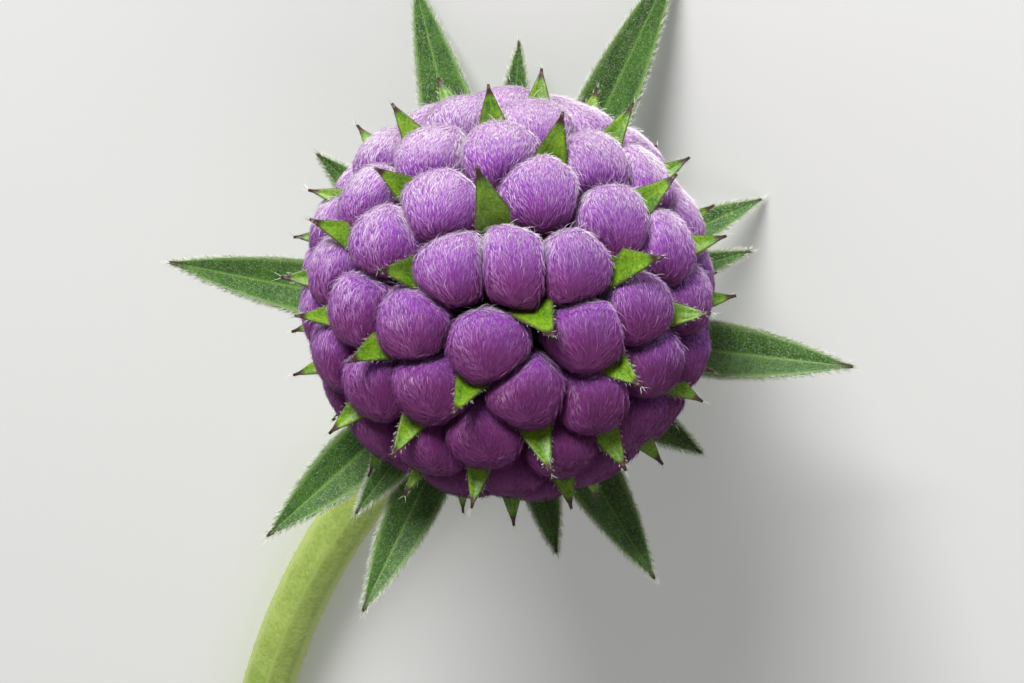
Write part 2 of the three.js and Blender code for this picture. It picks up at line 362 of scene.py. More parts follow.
def hair_piece(name, grown, material):
    """Joins lots of hairs into one piece, with the strip map that their material reads."""
    corners, faces, strips, used = [], [], [], 0
    for (shape, pattern, face_maps), places, shades in grown:
        count = len(places)
        corners.append(places.reshape(-1, 3))
        starts = used + np.arange(count) * len(shape)
        faces.append((pattern[None] + starts[:, None, None]).reshape(-1, 3))
        strip = np.repeat(face_maps[None], count, axis=0)
        strip[..., 0] = (shades[:, None, None] + 0.15 + 0.7 * strip[..., 0]) / SHADES
        strip[..., 1] = 0.02 + 0.96 * strip[..., 1]
        strips.append(strip.reshape(-1))
        used += count * len(shape)
    faces = np.concatenate(faces)
    mesh = bpy.data.meshes.new(name)
    mesh.from_pydata(np.concatenate(corners).tolist(), [], faces.tolist())
    mesh.uv_layers.new(name="OFBake").data.foreach_set("uv", np.concatenate(strips).astype(np.float32))
    mesh.materials.append(material)
    piece = bpy.data.objects.new(name, mesh)
    bpy.context.scene.collection.objects.link(piece)
    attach(piece, "root")
    print(name, sum(len(lot[1]) for lot in grown), "hairs,", len(faces), "faces")
    return piece


# %% [markdown]
# ## Materials
#
# Each finish is a Principled shader with nodes for what changes over the surface. Three effects
# come back in several of them, so each is a node group. `mottle` varies a colour and gives a
# fine height for the bump. `toward_tip` changes the colour at the far end of a rod. `felted`
# lays pale specks over a colour, like felt too fine to model. The groups only put out colours
# and heights, and the shader stays in the material.

# %% Node groups
def new_group(name, inputs, outputs):
    group = bpy.data.node_groups.new(name, "ShaderNodeTree")
    for label, kind, value in inputs:
        socket = group.interface.new_socket(label, in_out="INPUT", socket_type=kind)
        socket.default_value = value
    for label, kind in outputs:
        group.interface.new_socket(label, in_out="OUTPUT", socket_type=kind)
    start = group.nodes.new("NodeGroupInput")
    end = group.nodes.new("NodeGroupOutput")
    return group, start, end


def add(tree, kind, values=None, **settings):
    """A node with its settings, and its inputs set to values or linked from sockets."""
    node = tree.nodes.new(kind)
    for label, value in settings.items():
        setattr(node, label, value)
    for label, value in (values or {}).items():
        if isinstance(value, bpy.types.NodeSocket):
            tree.links.new(value, node.inputs[label])
        else:
            node.inputs[label].default_value = value
    return node


def mix_colours(tree, factor, first, second, blend="MIX"):
    """The mix node has inputs for every kind of data, and its colours are numbers 6 and 7."""
    node = tree.nodes.new("ShaderNodeMix")
    node.data_type = "RGBA"
    node.blend_type = blend
    for place, value in ((0, factor), (6, first), (7, second)):
        if isinstance(value, bpy.types.NodeSocket):
            tree.links.new(value, node.inputs[place])
        else:
            node.inputs[place].default_value = value
    return node.outputs[2]


COLOUR, NUMBER = "NodeSocketColor", "NodeSocketFloat"
WHITE = (1, 1, 1, 1)

mottle, start, end = new_group(
    "mottle",
    [("Light", COLOUR, WHITE), ("Dark", COLOUR, WHITE), ("Scale", NUMBER, 900.0)],
    [("Color", COLOUR), ("Height", NUMBER)],
)
place = add(mottle, "ShaderNodeTexCoord")
broad = add(mottle, "ShaderNodeTexNoise", {
    "Vector": place.outputs["Object"], "Scale": start.outputs["Scale"], "Detail": 3.0, "Roughness": 0.6,
})
finer = add(mottle, "ShaderNodeMath", {0: start.outputs["Scale"], 1: 7.0}, operation="MULTIPLY")
fine = add(mottle, "ShaderNodeTexNoise", {
    "Vector": place.outputs["Object"], "Scale": finer.outputs[0], "Detail": 2.0, "Roughness": 0.5,
})
both = add(mottle, "ShaderNodeMath", {0: broad.outputs["Fac"], 1: fine.outputs["Fac"]}, operation="ADD")
patch = add(mottle, "ShaderNodeMapRange", {
    "Value": both.outputs[0], "From Min": 0.75, "From Max": 1.3,
})
mottle.links.new(
    mix_colours(mottle, patch.outputs["Result"], start.outputs["Dark"], start.outputs["Light"]),
    end.inputs["Color"],
)
mottle.links.new(both.outputs[0], end.inputs["Height"])

toward_tip, start, end = new_group(
    "toward_tip",
    [
        ("Color", COLOUR, WHITE), ("Tip Color", COLOUR, WHITE),
        ("Start", NUMBER, 0.8), ("End", NUMBER, 1.0),
    ],
    [("Color", COLOUR)],
)
along = add(toward_tip, "ShaderNodeAttribute", attribute_name="along")
dried = add(toward_tip, "ShaderNodeMapRange", {
    "Value": along.outputs["Fac"], "From Min": start.outputs["Start"], "From Max": start.outputs["End"],
}, interpolation_type="SMOOTHSTEP")
toward_tip.links.new(
    mix_colours(toward_tip, dried.outputs["Result"], start.outputs["Color"], start.outputs["Tip Color"]),
    end.inputs["Color"],
)

felted, start, end = new_group(
    "felted",
    [
        ("Color", COLOUR, WHITE), ("Felt Color", COLOUR, WHITE),
        ("Cover", NUMBER, 0.5), ("Scale", NUMBER, 14000.0),
    ],
    [("Color", COLOUR)],
)
place = add(felted, "ShaderNodeTexCoord")
speckle = add(felted, "ShaderNodeTexNoise", {
    "Vector": place.outputs["Object"], "Scale": start.outputs["Scale"], "Detail": 1.0,
})
showing = add(felted, "ShaderNodeMapRange", {
    "Value": speckle.outputs["Fac"], "From Min": 0.46, "From Max": 0.66,
})
covered = add(felted, "ShaderNodeMath", {
    0: showing.outputs["Result"], 1: start.outputs["Cover"],
}, operation="MULTIPLY")
felted.links.new(
    mix_colours(felted, covered.outputs[0], start.outputs["Color"], start.outputs["Felt Color"]),
    end.inputs["Color"],
)


def new_material(name, roughness):
    material = bpy.data.materials.new(name)
    material.use_nodes = True
    shader = material.node_tree.nodes["Principled BSDF"]
    shader.inputs["Roughness"].default_value = roughness
    return material, material.node_tree, shader


def use_group(tree, group, values):
    return add(tree, "ShaderNodeGroup", values, node_tree=group)


def add_bump(tree, shader, height, depth, strength=1.0):
    bump = add(tree, "ShaderNodeBump", {"Height": height, "Distance": depth, "Strength": strength})
    tree.links.new(bump.outputs["Normal"], shader.inputs["Normal"])


# %% [markdown]
# ### Petals
#
# The closed petals are deep violet. Their colour is painted paler on the side of the key lamp and
# darker away from it, as painted light and shade: the attribute for it runs from 0 where shade is
# painted to 1 where light is painted. They are covered in down, far more than can be modelled, so
# the skin shows the lowest layer of it as fine streaks. The attribute `flow` holds directions round the
# point that a bud's hairs run to, and a noise read there is stretched along the hairs. The
# attribute `rise` is how far out from the receptacle a point is, and with it the crevices between
# the buds are painted dark, as painted shade.

# %% Petal skin
def shade_row(tree, factor, shades):
    """A colour ramp with evenly spaced stops."""
    row = add(tree, "ShaderNodeValToRGB", {"Fac": factor})
    stops = row.color_ramp.elements
    while len(stops) < len(shades):
        stops.new(0.5)
    for number, (stop, shade) in enumerate(zip(stops, shades)):
        stop.position = number / (len(shades) - 1)
        stop.color = shade
    return row.outputs["Color"]


# Each colour row runs from painted shade, on the side away from the key lamp, to painted light on the
# side toward it.
SKIN_SHADES = [(0.15, 0.014, 0.135, 1), (0.21, 0.020, 0.36, 1), (0.36, 0.12, 0.43, 1)]
STREAK_SHADES = [(0.23, 0.04, 0.19, 1), (0.41, 0.13, 0.50, 1), (0.84, 0.73, 0.85, 1)]
# Painted shade for the crevices between the buds, paler on the key lamp's side as painted light.
PAINTED_CREVICE_SHADES = [(0.090, 0.018, 0.065, 1), (0.060, 0.009, 0.052, 1), (0.26, 0.20, 0.17, 1)]
STREAKS_ROUND = 84.0
PATCH_SHADE = (0.62, 0.55, 0.66, 1)
PETAL_PATCHES = 1100.0
CREVICE_END = 0.25
CREVICE_START = 0.72

petal, tree, shader = new_material("petal_purple", 0.6)
# Painted light: 0 where shade is painted, 1 where light is painted, toward the key lamp.
sun = add(tree, "ShaderNodeAttribute", attribute_name="sun")
rise = add(tree, "ShaderNodeAttribute", attribute_name="rise")
flow = add(tree, "ShaderNodeAttribute", attribute_name="flow")
patches = use_group(tree, mottle, {"Light": WHITE, "Dark": PATCH_SHADE, "Scale": PETAL_PATCHES})
streaks = add(tree, "ShaderNodeTexNoise", {
    "Vector": flow.outputs["Vector"], "Scale": STREAKS_ROUND, "Detail": 3.0, "Roughness": 0.7,
})
streaked = add(tree, "ShaderNodeMapRange", {
    "Value": streaks.outputs["Fac"], "From Min": 0.47, "From Max": 0.70,
})
skin = mix_colours(
    tree, 1.0, shade_row(tree, sun.outputs["Fac"], SKIN_SHADES), patches.outputs["Color"], "MULTIPLY"
)
streak = shade_row(tree, sun.outputs["Fac"], STREAK_SHADES)
downy = mix_colours(tree, streaked.outputs["Result"], skin, streak)
# Painted shade: the colour darkens toward the receptacle, down between the buds.
depth = add(tree, "ShaderNodeMapRange", {
    "Value": rise.outputs["Fac"], "From Min": CREVICE_END, "From Max": CREVICE_START,
}, interpolation_type="SMOOTHSTEP")
deep = shade_row(tree, sun.outputs["Fac"], PAINTED_CREVICE_SHADES)
tree.links.new(mix_colours(tree, depth.outputs["Result"], deep, downy), shader.inputs["Base Color"])
shader.inputs["Specular IOR Level"].default_value = 0.3
add_bump(tree, shader, streaks.outputs["Fac"], 0.035 * MM, 0.8)


# %% Hair colours
def hair_material(name, root_darker, shades, roughness=0.45):
    """The outer half of each hair has its shade from the row, and it is darker at the root."""
    material, tree, shader = new_material(name, roughness)
    strip = add(tree, "ShaderNodeUVMap", uv_map="OFBake")
    parts = add(tree, "ShaderNodeSeparateXYZ", {"Vector": strip.outputs["UV"]})
    tips = shade_row(tree, parts.outputs["X"], shades)
    roots = mix_colours(tree, root_darker, tips, (0, 0, 0, 1))
    reach = add(tree, "ShaderNodeMapRange", {
        "Value": parts.outputs["Y"], "From Min": 0.0, "From Max": 0.5,
    })
    tree.links.new(mix_colours(tree, reach.outputs["Result"], roots, tips), shader.inputs["Base Color"])
    shader.inputs["Specular IOR Level"].default_value = 0.35
    return material


# Which shade of this row a bud hair gets is partly painted light: hairs on the key lamp's side are
# painted whiter.
lilac_down = hair_material(
    "lilac_down", 0.35,
    [(0.22, 0.05, 0.18, 1), (0.38, 0.13, 0.46, 1), (0.60, 0.39, 0.66, 1), (0.93, 0.87, 0.91, 1)],
)
white_down = hair_material(
    "white_down", 0.35, [(0.38, 0.48, 0.28, 1), (0.66, 0.72, 0.56, 1), (0.92, 0.93, 0.87, 1)]
)

# %% [markdown]
# ### Greens
#
# Scales are a fresh, slightly glossy green and dry to purple-brown at the point. Bracts are
# duller under their felt, with a paler groove down the middle. The stem is the palest, with
# ribs that catch the light. `along` runs from 0 to 1 on a rod, and the pith is marked beyond
# that, so `toward_tip` also colours the stem's cut end.

# %% Scales, bracts and stem
TIP_BROWN = (0.045, 0.018, 0.012, 1)
TIP_BLEND = 0.07
FELT_PALE = (0.27, 0.36, 0.18, 1)
PITH_CREAM = (0.66, 0.68, 0.46, 1)
PITH_MARK = 2
PITH_START = 1.4
NO_TIP = 2.0


def across_blend(tree, colour, other, near, far):
    """Blends to another colour between two distances from a blade's middle line."""
    across = add(tree, "ShaderNodeAttribute", attribute_name="across")
    distance = add(tree, "ShaderNodeMath", {0: across.outputs["Fac"]}, operation="ABSOLUTE")
    share = add(tree, "ShaderNodeMapRange", {
        "Value": distance.outputs[0], "From Min": near, "From Max": far,
    }, interpolation_type="SMOOTHSTEP")
    return mix_colours(tree, share.outputs["Result"], colour, other)


def blade_material(
    name, light, dark, rib, margin, roughness, tip_start, scale=1800.0, felt=0.0, tip_colour=TIP_BROWN
):
    material, tree, shader = new_material(name, roughness)
    skin = use_group(tree, mottle, {"Light": light, "Dark": dark, "Scale": scale})
    ribbed = across_blend(tree, rib, skin.outputs["Color"], 0.0, 0.1)
    edged = across_blend(tree, ribbed, margin, 0.72, 0.98)
    worn = use_group(tree, felted, {"Color": edged, "Felt Color": FELT_PALE, "Cover": felt})
    tip = use_group(tree, toward_tip, {
        "Color": worn.outputs["Color"], "Tip Color": tip_colour,
        "Start": tip_start, "End": tip_start + TIP_BLEND,
    })
    tree.links.new(tip.outputs["Color"], shader.inputs["Base Color"])
    shader.inputs["Specular IOR Level"].default_value = 0.4
    add_bump(tree, shader, skin.outputs["Height"], 0.02 * MM, 0.7)
    return material


scale_green = blade_material(
    "scale_green",
    light=(0.22, 0.38, 0.008, 1),
    dark=(0.032, 0.12, 0.003, 1),
    rib=(0.12, 0.29, 0.006, 1),
    margin=(0.075, 0.085, 0.014, 1),
    roughness=0.42,
    tip_start=0.86,
    felt=0.12,
)
bract_green = blade_material(
    "bract_green",
    light=(0.062, 0.175, 0.012, 1),
    dark=(0.020, 0.072, 0.009, 1),
    rib=(0.12, 0.26, 0.03, 1),
    margin=(0.18, 0.31, 0.08, 1),
    roughness=0.55,
    tip_start=0.94,
    scale=1300.0,
    felt=0.22,
)
stem_green = blade_material(
    "stem_green",
    light=(0.46, 0.58, 0.14, 1),
    dark=(0.29, 0.42, 0.07, 1),
    rib=(0.42, 0.55, 0.13, 1),
    margin=(0.46, 0.58, 0.14, 1),
    roughness=0.5,
    tip_start=PITH_START,
    scale=900.0,
    felt=0.15,
    tip_colour=PITH_CREAM,
)
# The receptacle is painted very dark green as painted shade, since it shows only deep in the gaps
# between the buds.
core_green = blade_material(
    "core_green",
    light=(0.05, 0.07, 0.015, 1),
    dark=(0.015, 0.02, 0.006, 1),
    rib=(0.05, 0.07, 0.015, 1),
    margin=(0.05, 0.07, 0.015, 1),
    roughness=0.8,
    tip_start=NO_TIP,
    scale=1500.0,
)

# %% [markdown]
# ## Receptacle
#
# The knob that everything grows on is nearly hidden. It is turned like a lathe piece: a
# half-circle outline with a short foot is spun about the axis, and the last seam is merged.

# %% Sizes under the ball
CORE_RADIUS = 4.2 * MM
BUD_CENTRE_RADIUS = 5.2 * MM
HEAD_RADIUS = 7 * MM
BUD_WIDTH = 3.3 * MM
BRACT_THICKNESS = 0.34 * MM
BRACT_TIER_GAP = 0.5 * MM
CLEARANCE = 0.08 * MM
STEM_DIAMETER = 2 * MM
NECK_RADIUS = STEM_DIAMETER / 2 + 0.25 * MM

skirt_lean = math.radians(buds[-1]["lean"]) + BUD_WIDTH / 2 / HEAD_RADIUS
skirt_radius = HEAD_RADIUS * math.sin(skirt_lean)
bract_seat = min(HEAD_RADIUS * math.cos(skirt_lean), -CORE_RADIUS) - BRACT_THICKNESS - CLEARANCE
neck_foot = bract_seat - 3 * BRACT_TIER_GAP

# %% Turn the receptacle
core_bm = bmesh.new()
neck_lean = math.pi - math.asin(NECK_RADIUS / CORE_RADIUS)
outline = [Vector((0, 0, neck_foot)), Vector((NECK_RADIUS, 0, neck_foot))]
OUTLINE_STEPS = 24
for step in range(OUTLINE_STEPS + 1):
    lean = neck_lean * (1 - step / OUTLINE_STEPS)
    outline.append(Vector((CORE_RADIUS * math.sin(lean), 0, CORE_RADIUS * math.cos(lean))))
points = [core_bm.verts.new(point) for point in outline]
edges = [core_bm.edges.new(ends) for ends in zip(points, points[1:])]
bmesh.ops.spin(
    core_bm, geom=points + edges, cent=(0, 0, 0), axis=(0, 0, 1),
    angle=math.tau, steps=48, use_merge=True,
)
bmesh.ops.remove_doubles(core_bm, verts=core_bm.verts, dist=0.001 * MM)
bmesh.ops.recalc_face_normals(core_bm, faces=core_bm.faces)
bmesh.ops.transform(core_bm, matrix=HEAD, verts=core_bm.verts)
finish_piece("receptacle_core", core_bm, core_green, ["receptacle"])

# %% [markdown]
# ## Buds
#
# Each bud is an egg pressed by its neighbours. It starts as a fine icosphere. Along every ray
# from its middle the surface ends just short of the nearest flat between it and a neighbour,
# and adding the flats as powers rounds the corners between them. So the shapes come from the
# packing itself, squarish here and five-sided there, as on the plant.

# %% Bud shapes
# The direction of the painted light, toward the key lamp's side, and how much paler each point is
# painted toward it.
PAINTED_LIGHT_TURN = 90
PAINTED_LIGHT_ROUND = 0.80
BUD_SQUARENESS = 7.0
DOME_SQUARENESS = 2.5
BUD_SPLIT = 4
BUD_GAP = 0.045 * MM
BUD_TALL = HEAD_RADIUS - BUD_CENTRE_RADIUS
BUD_DENT = 0.022
DENT_WAVES = 4
DENT_PITCH = 2.2
CREASE_DEPTH = 0.035
CREASE_SHARPNESS = 10
CREASE_TWIST = 1.4

TO_AXIS = 0.5
TO_SHADE = 0.95
# How much painted light a bud gets: a middle value, more on the key lamp's side, and a random spread of
# tone.
PAINTED_LIGHT_MIDDLE = 0.33
PAINTED_LIGHT_OF_BUD = 0.08
BUD_TONE_VARIES = 0.05
POLE_HOLE = 0.02
FLOW_LENGTH = 0.16

for bud in buds:
    outward = direction(bud["lean"], bud["turn"])
    inward = Vector((0, 0, 1)) - outward * outward.z
    bud["centre"] = outward * BUD_CENTRE_RADIUS
    bud["pole"] = (outward + inward * TO_AXIS - direction(90, PAINTED_LIGHT_TURN) * TO_SHADE).normalized()
    # How far the bud faces the key lamp's side, for its painted light.
    bud["sunny"] = outward.dot(direction(90, PAINTED_LIGHT_TURN))


def bud_surface(bud, rays, rng):
    """The surface's distance from the bud's middle along each ray, which are in the head's frame."""
    outward = np.array(bud["centre"].normalized())
    tall = rays @ outward
    flat = np.sqrt(np.maximum(1 - tall ** 2, 0))
    width = BUD_WIDTH / 2 * rng.uniform(0.95, 1.06)
    height = BUD_TALL * rng.uniform(0.97, 1.06)
    dome = (flat / width) ** DOME_SQUARENESS + np.abs(tall / height) ** DOME_SQUARENESS
    total = dome ** (BUD_SQUARENESS / DOME_SQUARENESS)
    for other in buds:
        apart = np.array(other["centre"] - bud["centre"])
        distance = np.linalg.norm(apart)
        if other is bud or distance > 2 * BUD_WIDTH:
            continue
        reach = distance / 2 - BUD_GAP
        total += np.maximum(rays @ (apart / distance) / reach, 0) ** BUD_SQUARENESS
    return total ** (-1 / BUD_SQUARENESS)


def dents(rays, rng):
    """Soft unevenness: a few broad waves in random directions."""
    waves = np.zeros(len(rays))
    for _ in range(DENT_WAVES):
        way = rng.normal(0, 1, 3)
        waves += np.sin(rays @ way * DENT_PITCH + rng.uniform(0, math.tau))
    return 1 + BUD_DENT * waves / 2


def creases(rays, bud, rng):
    """Four shallow grooves that meet near the top, where the petal lobes fold over each other."""
    outward = bud["centre"].normalized()
    sideways = outward.cross(Vector((0.3, 0.5, 0.8))).normalized()
    onward = outward.cross(sideways)
    turn = np.arctan2(rays @ np.array(onward), rays @ np.array(sideways)) + rng.uniform(0, math.tau)
    tall = np.clip(rays @ np.array(outward), 0, 1)
    groove = np.clip(np.cos(2 * turn + CREASE_TWIST * tall), 0, 1) ** CREASE_SHARPNESS
    return 1 - CREASE_DEPTH * (groove * tall ** 2 * (1 - tall ** 6))


def flow_round(rays, pole):
    """Where each ray is round the pole, as two numbers, and a little of how far from it it is."""
    level = np.array(pole.orthogonal().normalized())
    other = np.cross(np.array(pole), level)
    x, y, z = rays @ level, rays @ other, rays @ np.array(pole)
    ring = np.maximum(np.hypot(x, y), POLE_HOLE)
    return np.stack([x / ring, y / ring, np.arccos(np.clip(z, -1, 1)) * FLOW_LENGTH], axis=1)


def make_bud(number, bud):
    rng = np.random.default_rng(100 + number)
    bm = bmesh.new()
    bmesh.ops.create_icosphere(bm, subdivisions=BUD_SPLIT, radius=1)
    rays = np.array([vert.co.normalized() for vert in bm.verts])
    reach = bud_surface(bud, rays, rng) * dents(rays, rng) * creases(rays, bud, rng)
    rise = bm.verts.layers.float.new("rise")
    sun = bm.verts.layers.float.new("sun")
    flow = bm.verts.layers.float_vector.new("flow")
    # Painted light for the whole bud, paler on the key lamp's side, with a random spread of tone.
    own_painted_light = PAINTED_LIGHT_MIDDLE + PAINTED_LIGHT_OF_BUD * bud["sunny"] + rng.normal(0, BUD_TONE_VARIES)
    for vert, ray, far, way in zip(bm.verts, rays, reach, flow_round(rays, bud["pole"])):
        vert.co = bud["centre"] + Vector(ray * far)
        vert[rise] = (vert.co.length - CORE_RADIUS) / (HEAD_RADIUS - CORE_RADIUS)
        vert[sun] = min(max(own_painted_light + PAINTED_LIGHT_ROUND * ray[1], 0), 1)    # painted light, paler toward the key lamp, along Y
        vert[flow] = (way[0], way[1], way[2] + number)
    bmesh.ops.transform(bm, matrix=HEAD, verts=bm.verts)
    replaced = [f"bud_{number:02d}"] if bud["pair"] <= SEPARATE_PAIRS else []
    return finish_piece(f"bud_skin_{number:02d}", bm, petal, replaced)


bud_pieces = [make_bud(number, bud) for number, bud in enumerate(buds, 1)]
print(len(bud_pieces), "buds of", len(bud_pieces[0].data.polygons), "faces")

# %% [markdown]
# ## Down on the buds
#
# Each bud's hairs lie on its petals and run together to one point, its `pole`. That lies toward
# the head's axis and away from the key lamp's side, so the hairs cross the bud from the side where
# light is painted. The hairs are painted whiter on the key lamp's side, as painted light. A few
# longer ones stand off it and make a pale fringe. Hairs are only grown where a bud can be seen,
# not down between the buds, and are thinned out at the pole.

# %% Grow the down
DOWN_LENGTH = 0.27 * MM
DOWN_THICKNESS = 0.020 * MM
DOWN_FROM = 5.2 * MM
DOWN_FADE = 0.7 * MM
DOWN_PER_BUD = 4000
JOINED_SHARE = 0.7
DOWN_PALENESS = 0.32
PAINTED_LIGHT_PALENESS = 0.10
PALENESS_VARIES = 0.15
POLE_SIZE = 0.35
POLE_SHARE = 0.45
PAST_POLE = 1.15
STRAYS_PER_BUD = 190
STRAY_LENGTH = 0.40 * MM
BUDS_PER_PIECE = 9
middle = np.array(centre)
painted_light_way = np.array(turned @ direction(90, PAINTED_LIGHT_TURN))


def grow_down(number, bud, piece):
    rng = np.random.default_rng(500 + number)
    bud_middle = np.array(HEAD @ bud["centre"])
    pole = np.array(turned @ bud["pole"])

    def weight(places):
        far = np.linalg.norm(places - middle, axis=1)
        from_pole = 1 - unit(places - bud_middle) @ pole
        in_sight = np.clip((far - DOWN_FROM) / DOWN_FADE, 0, 1)
        return in_sight * np.clip(from_pole / POLE_SIZE, POLE_SHARE, 1)

    # Paleness of each hair: a base value and a random spread, plus painted light, whiter on the key
    # lamp's side and on buds there.
    def paleness(roots):
        own = PAINTED_LIGHT_ROUND * (unit(roots - bud_middle) @ painted_light_way)
        varies = rng.normal(0, PALENESS_VARIES, len(roots))
        return DOWN_PALENESS + PAINTED_LIGHT_PALENESS * bud["sunny"] + own + varies

    def flow(roots, spread):
        ways = pole * PAST_POLE - unit(roots - bud_middle)
        return unit(ways) + rng.normal(0, spread, roots.shape)

    count = int(DOWN_PER_BUD * (1 if bud["pair"] <= SEPARATE_PAIRS else JOINED_SHARE))
    roots, facing = surface_points(piece, count, rng, weight)
    down = hairs(
        short_hair, roots, facing, flow(roots, 0.18), DOWN_LENGTH, DOWN_THICKNESS, rng,
        lift=0.22, curl=0.05, settle=0.05, pale=paleness(roots),
    )
    roots, facing = surface_points(piece, STRAYS_PER_BUD, rng, weight)
    behind = np.clip(0.6 - unit(roots - bud_middle) @ pole, 0, 1)
    strays = hairs(
        long_hair, roots, facing, flow(roots, 0.28), STRAY_LENGTH, DOWN_THICKNESS, rng,
        lift=0.45 + 0.5 * behind, curl=0.15, settle=0.42, pale=paleness(roots) + 0.2,
    )
    return [down, strays]


grown = [
    grow_down(number, bud, piece)
    for number, (bud, piece) in enumerate(zip(buds, bud_pieces), 1)
]
for batch, first in enumerate(range(0, len(grown), BUDS_PER_PIECE), 1):
    lots = [lot for pair in grown[first:first + BUDS_PER_PIECE] for lot in pair]
    hair_piece(f"bud_down_{batch}", lots, lilac_down)

# %% [markdown]
# ## Scales
#
# Behind a bud stands a keeled green scale, a boat-shaped blade that narrows to a dark point.
# The top bud has two, and the lowest buds, down by the bracts, have none. Each is a `bent_rod`
# whose fold makes the keel. White hairs fringe its edges, and a few stiff bristles end it.

# %% Scale blades
SCALED_PAIRS = 27
SCALE_WIDTH = 1.5 * MM
SCALE_THICKNESS = 0.32 * MM
SCALE_ROOT_LEAN = 12.5
SCALE_LEAN = 16
SCALE_PROUD = 1.0 * MM
SCALE_FOLD = 0.44
TOP_SCALE_LEAN = 6
SCALE_SIDES = 14
SCALE_STEPS = 18
SCALE_ROOT_WIDTH = 0.8 * MM
SCALE_TIP_WIDTH = 0.09 * MM
SCALE_FULLEST = 0.55
SCALE_SUNK = 0.3 * MM
SCALE_SHOULDER = 1.0 * MM
PROUD_FADES = 0.35
WIDTH_FADES = 0.45


def blade_outline(full, root, tip, fullest, power=1.5):
    """Widths along a blade: from the root to the fullest place, then curving in to the tip."""
    def width(t):
        if t < fullest:
            return root + (full - root) * math.sin(t / fullest * math.pi / 2)
        return max(full * (1 - ((t - fullest) / (1 - fullest)) ** power), tip)
    return width


def make_scale(bud, turn, rng):
    root_lean = bud["lean"] + SCALE_ROOT_LEAN + rng.uniform(-1, 1)
    tip_lean = bud["lean"] + SCALE_LEAN + rng.uniform(-1.5, 3)
    if bud["pair"] == 0:
        tip_lean += TOP_SCALE_LEAN
    proud = SCALE_PROUD * (1 - PROUD_FADES * bud["lean"] / 100) * rng.uniform(0.75, 1.15)
    side = rng.uniform(-3, 5)
    path = [
        direction(root_lean, turn) * (CORE_RADIUS - SCALE_SUNK),
        direction(root_lean + 1, turn) * (HEAD_RADIUS - SCALE_SHOULDER),
        direction(tip_lean, turn + side) * (HEAD_RADIUS + proud),
    ]
    full = SCALE_WIDTH * (1 - WIDTH_FADES * bud["lean"] / 100) * rng.uniform(0.88, 1.08)
    return bent_rod(
        SCALE_SIDES, SCALE_STEPS, lambda t: along_curve(path, t), direction(root_lean - 90, turn),
        blade_outline(full, SCALE_ROOT_WIDTH, SCALE_TIP_WIDTH, SCALE_FULLEST, power=1.08),
        lambda t: SCALE_THICKNESS * (1.1 - 0.7 * t), fold=SCALE_FOLD, blunt=0.6,
    )


scale_rng = np.random.default_rng(7)
scales_bm = bmesh.new()
for bud in buds:
    if bud["pair"] > SCALED_PAIRS:
        continue
    for turn in ([bud["turn"], bud["turn"] + 180] if bud["pair"] == 0 else [bud["turn"]]):
        blade = make_scale(bud, turn, scale_rng)
        bmesh.ops.transform(blade, matrix=HEAD, verts=blade.verts)
        scratch = bpy.data.meshes.new("one_scale")
        blade.to_mesh(scratch)
        blade.free()
        scales_bm.from_mesh(scratch)
        bpy.data.meshes.remove(scratch)
scales = finish_piece("scales", scales_bm, scale_green)
print("scales:", len(scales.data.polygons), "faces")


# %% Fringes
def blade_points(piece):
    """Per corner of a blade piece: its place, and where it was along and across the blade."""
    mesh = piece.data
    places = np.empty(len(mesh.vertices) * 3)
    mesh.vertices.foreach_get("co", places)
    rows = []
    for label in ("along", "across"):
        row = np.empty(len(mesh.vertices), np.float32)
        mesh.attributes[label].data.foreach_get("value", row)
        rows.append(row)
    return places.reshape(-1, 3), rows[0], rows[1]


def vertex_normals(piece):
    normals = np.empty(len(piece.data.vertices) * 3, np.float32)
    piece.data.vertex_normals.foreach_get("vector", normals)
    return normals.reshape(-1, 3).astype(float)


def grow_fringe(piece, count, length, thickness, rng, spacing, begin=0.45, end=0.97, heading=None):
    """Hairs along both edges of the blades, leaning toward the tip."""
    places, along, across = blade_points(piece)
    facing = vertex_normals(piece)
    edge = np.flatnonzero((np.abs(across) > 0.97) & (along > begin) & (along < end))
    chosen = rng.choice(edge, count)
    onward = heading(places[chosen])
    jitter = rng.normal(0, 0.02 * MM, (count, 3))
    jitter = jitter + onward * rng.uniform(-0.5, 0.5, (count, 1)) * spacing
    ways = facing[chosen] * 0.6 + onward * rng.uniform(0.5, 1.6, (count, 1))
    ways = ways + rng.normal(0, 0.2, (count, 3))
    stand = unit(np.cross(ways, rng.normal(0, 1, (count, 3))))
    return hairs(
        short_hair, places[chosen] + jitter, stand, ways, length, thickness, rng,
        lift=0.1, curl=0.15, settle=0.1,
    )


def grow_bristles(piece, count, length, thickness, rng, heading):
    """Stiff hairs at the tips, shared out among them by chance."""
    places, along, _ = blade_points(piece)
    tips = np.flatnonzero(along > 0.999)
    chosen = rng.choice(tips, count)
    ways = heading(places[chosen]) + rng.normal(0, 0.3, (count, 3))
    stand = unit(np.cross(ways, rng.normal(0, 1, (count, 3))))
    return hairs(
        long_hair, places[chosen], stand, ways, length, thickness, rng, lift=0.05, curl=0.2, settle=0.05
    )


def from_middle(places):
    return unit(places - middle)


FRINGE_HAIRS = 3600
FRINGE_LENGTH = 0.12 * MM
FRINGE_THICKNESS = 0.018 * MM
FRINGE_SPACING = 0.2 * MM
BRISTLES = 130
BRISTLE_LENGTH = 0.32 * MM
BRISTLE_THICKNESS = 0.026 * MM

fringe_rng = np.random.default_rng(11)
fringe = grow_fringe(
    scales, FRINGE_HAIRS, FRINGE_LENGTH, FRINGE_THICKNESS, fringe_rng, FRINGE_SPACING,
    heading=from_middle,
)
bristles = grow_bristles(
    scales, BRISTLES, BRISTLE_LENGTH, BRISTLE_THICKNESS, fringe_rng, from_middle
)
hair_piece("scale_fringe", [fringe, bristles], white_down)

